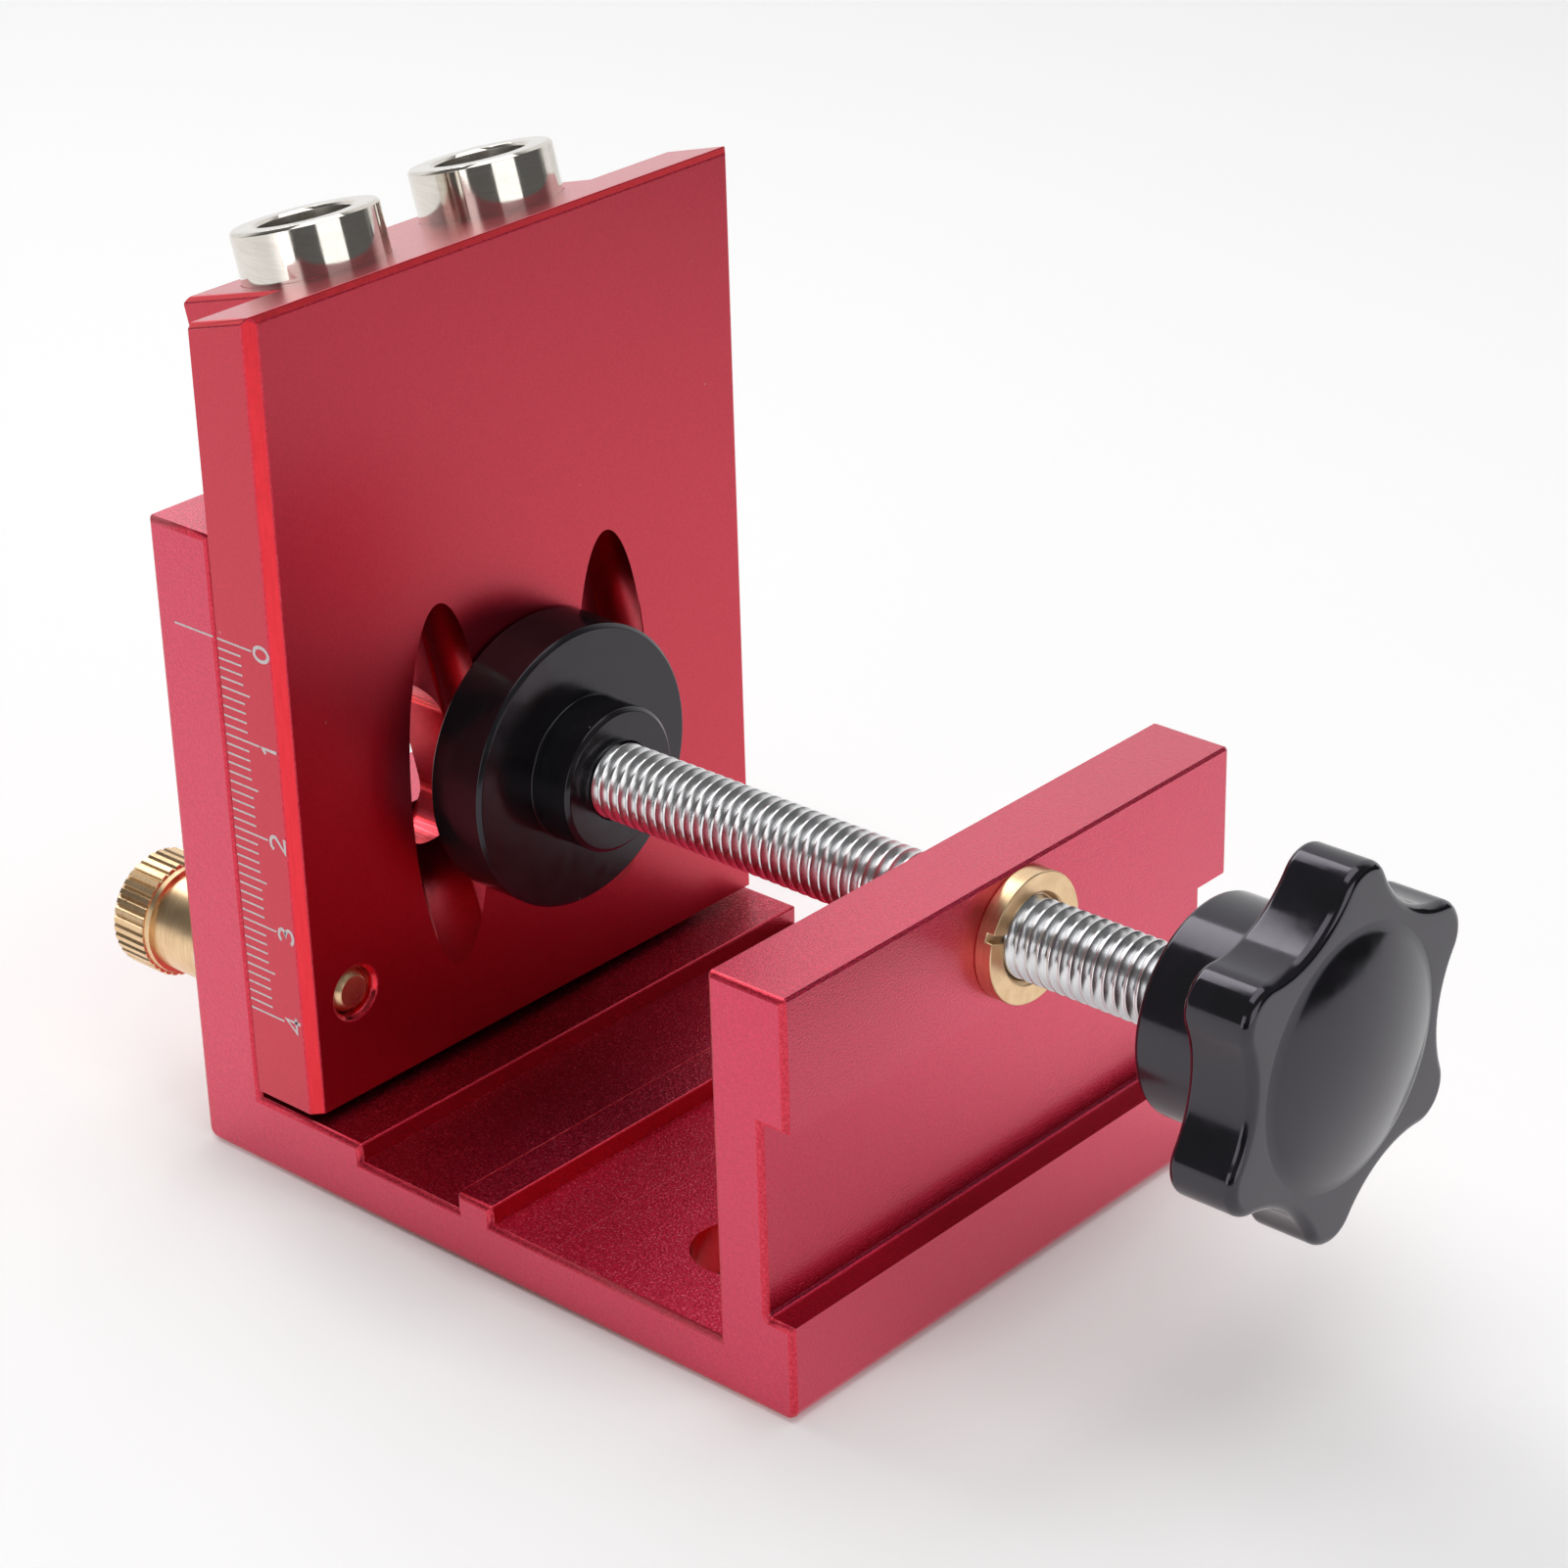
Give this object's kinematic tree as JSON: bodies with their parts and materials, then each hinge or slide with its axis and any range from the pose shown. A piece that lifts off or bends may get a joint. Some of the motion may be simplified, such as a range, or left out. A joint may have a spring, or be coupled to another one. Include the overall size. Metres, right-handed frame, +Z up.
{
  "type": "pocket-hole drilling jig",
  "caption": "Red aluminium pocket-hole drilling jig: tilted guide bushings in a sliding block, thumb-screw height lock and a screw clamp with star knob and swivel pad.",
  "frame": {"origin": "centre of the base's underside", "axes": "+X along the clamp screw towards the knob, +Y to the right seen from the knob, +Z up"},
  "size_m": [0.1317, 0.065, 0.0952],
  "materials": {
    "red_blasted": "bead-blasted, red anodised",
    "red_satin": "satin, red anodised",
    "nickel": "hardened, polished",
    "brass": "turned",
    "zinc": "bright zinc plated",
    "black_gloss": "glossy moulding",
    "black_satin": "satin, black anodised"
  },
  "bodies": {
    "base": {"base_frame": "red_blasted", "clamp_nut": "brass"},
    "guide": {"guide_block": "red_satin", "drill_bushing_left": "nickel", "drill_bushing_right": "nickel"},
    "lock_slider": {"lock_washer": "zinc"},
    "lock": {"lock_screw": "brass"},
    "carriage": {"pad_retaining_ring": "zinc"},
    "clamp": {"clamp_screw": "zinc", "star_knob": "black_gloss"},
    "pad": {"pressure_pad": "black_satin"}
  },
  "joints": [
    {"name": "guide_slide", "type": "slide", "parent": "base", "child": "guide", "axis": [0, 0, 1], "range_m": [0, 0.04]},
    {"name": "lock_back_off", "type": "slide", "parent": "guide", "child": "lock_slider", "axis": [-1, 0, 0], "range_m": [0, 0.0012]},
    {"name": "lock_turn", "type": "hinge", "parent": "lock_slider", "child": "lock", "pos_m": [-0.05, -0.0262, 0.02], "axis": [-1, 0, 0], "range_deg": [0, 540]},
    {"name": "clamp_feed", "type": "slide", "parent": "base", "child": "carriage", "axis": [1, 0, 0], "range_m": [0, 0.04]},
    {"name": "clamp_turn", "type": "hinge", "parent": "carriage", "child": "clamp", "pos_m": [0, 0, 0.037], "axis": [1, 0, 0], "range_deg": [0, 11520]},
    {"name": "pad_swivel", "type": "hinge", "parent": "carriage", "child": "pad", "pos_m": [-0.019, 0, 0.037], "axis": [1, 0, 0], "continuous": true}
  ],
  "couplings": [
    {"joint": "lock_turn", "follows": "lock_back_off", "rad_per_m": 7854},
    {"joint": "clamp_turn", "follows": "clamp_feed", "rad_per_m": 5026.5}
  ]
}
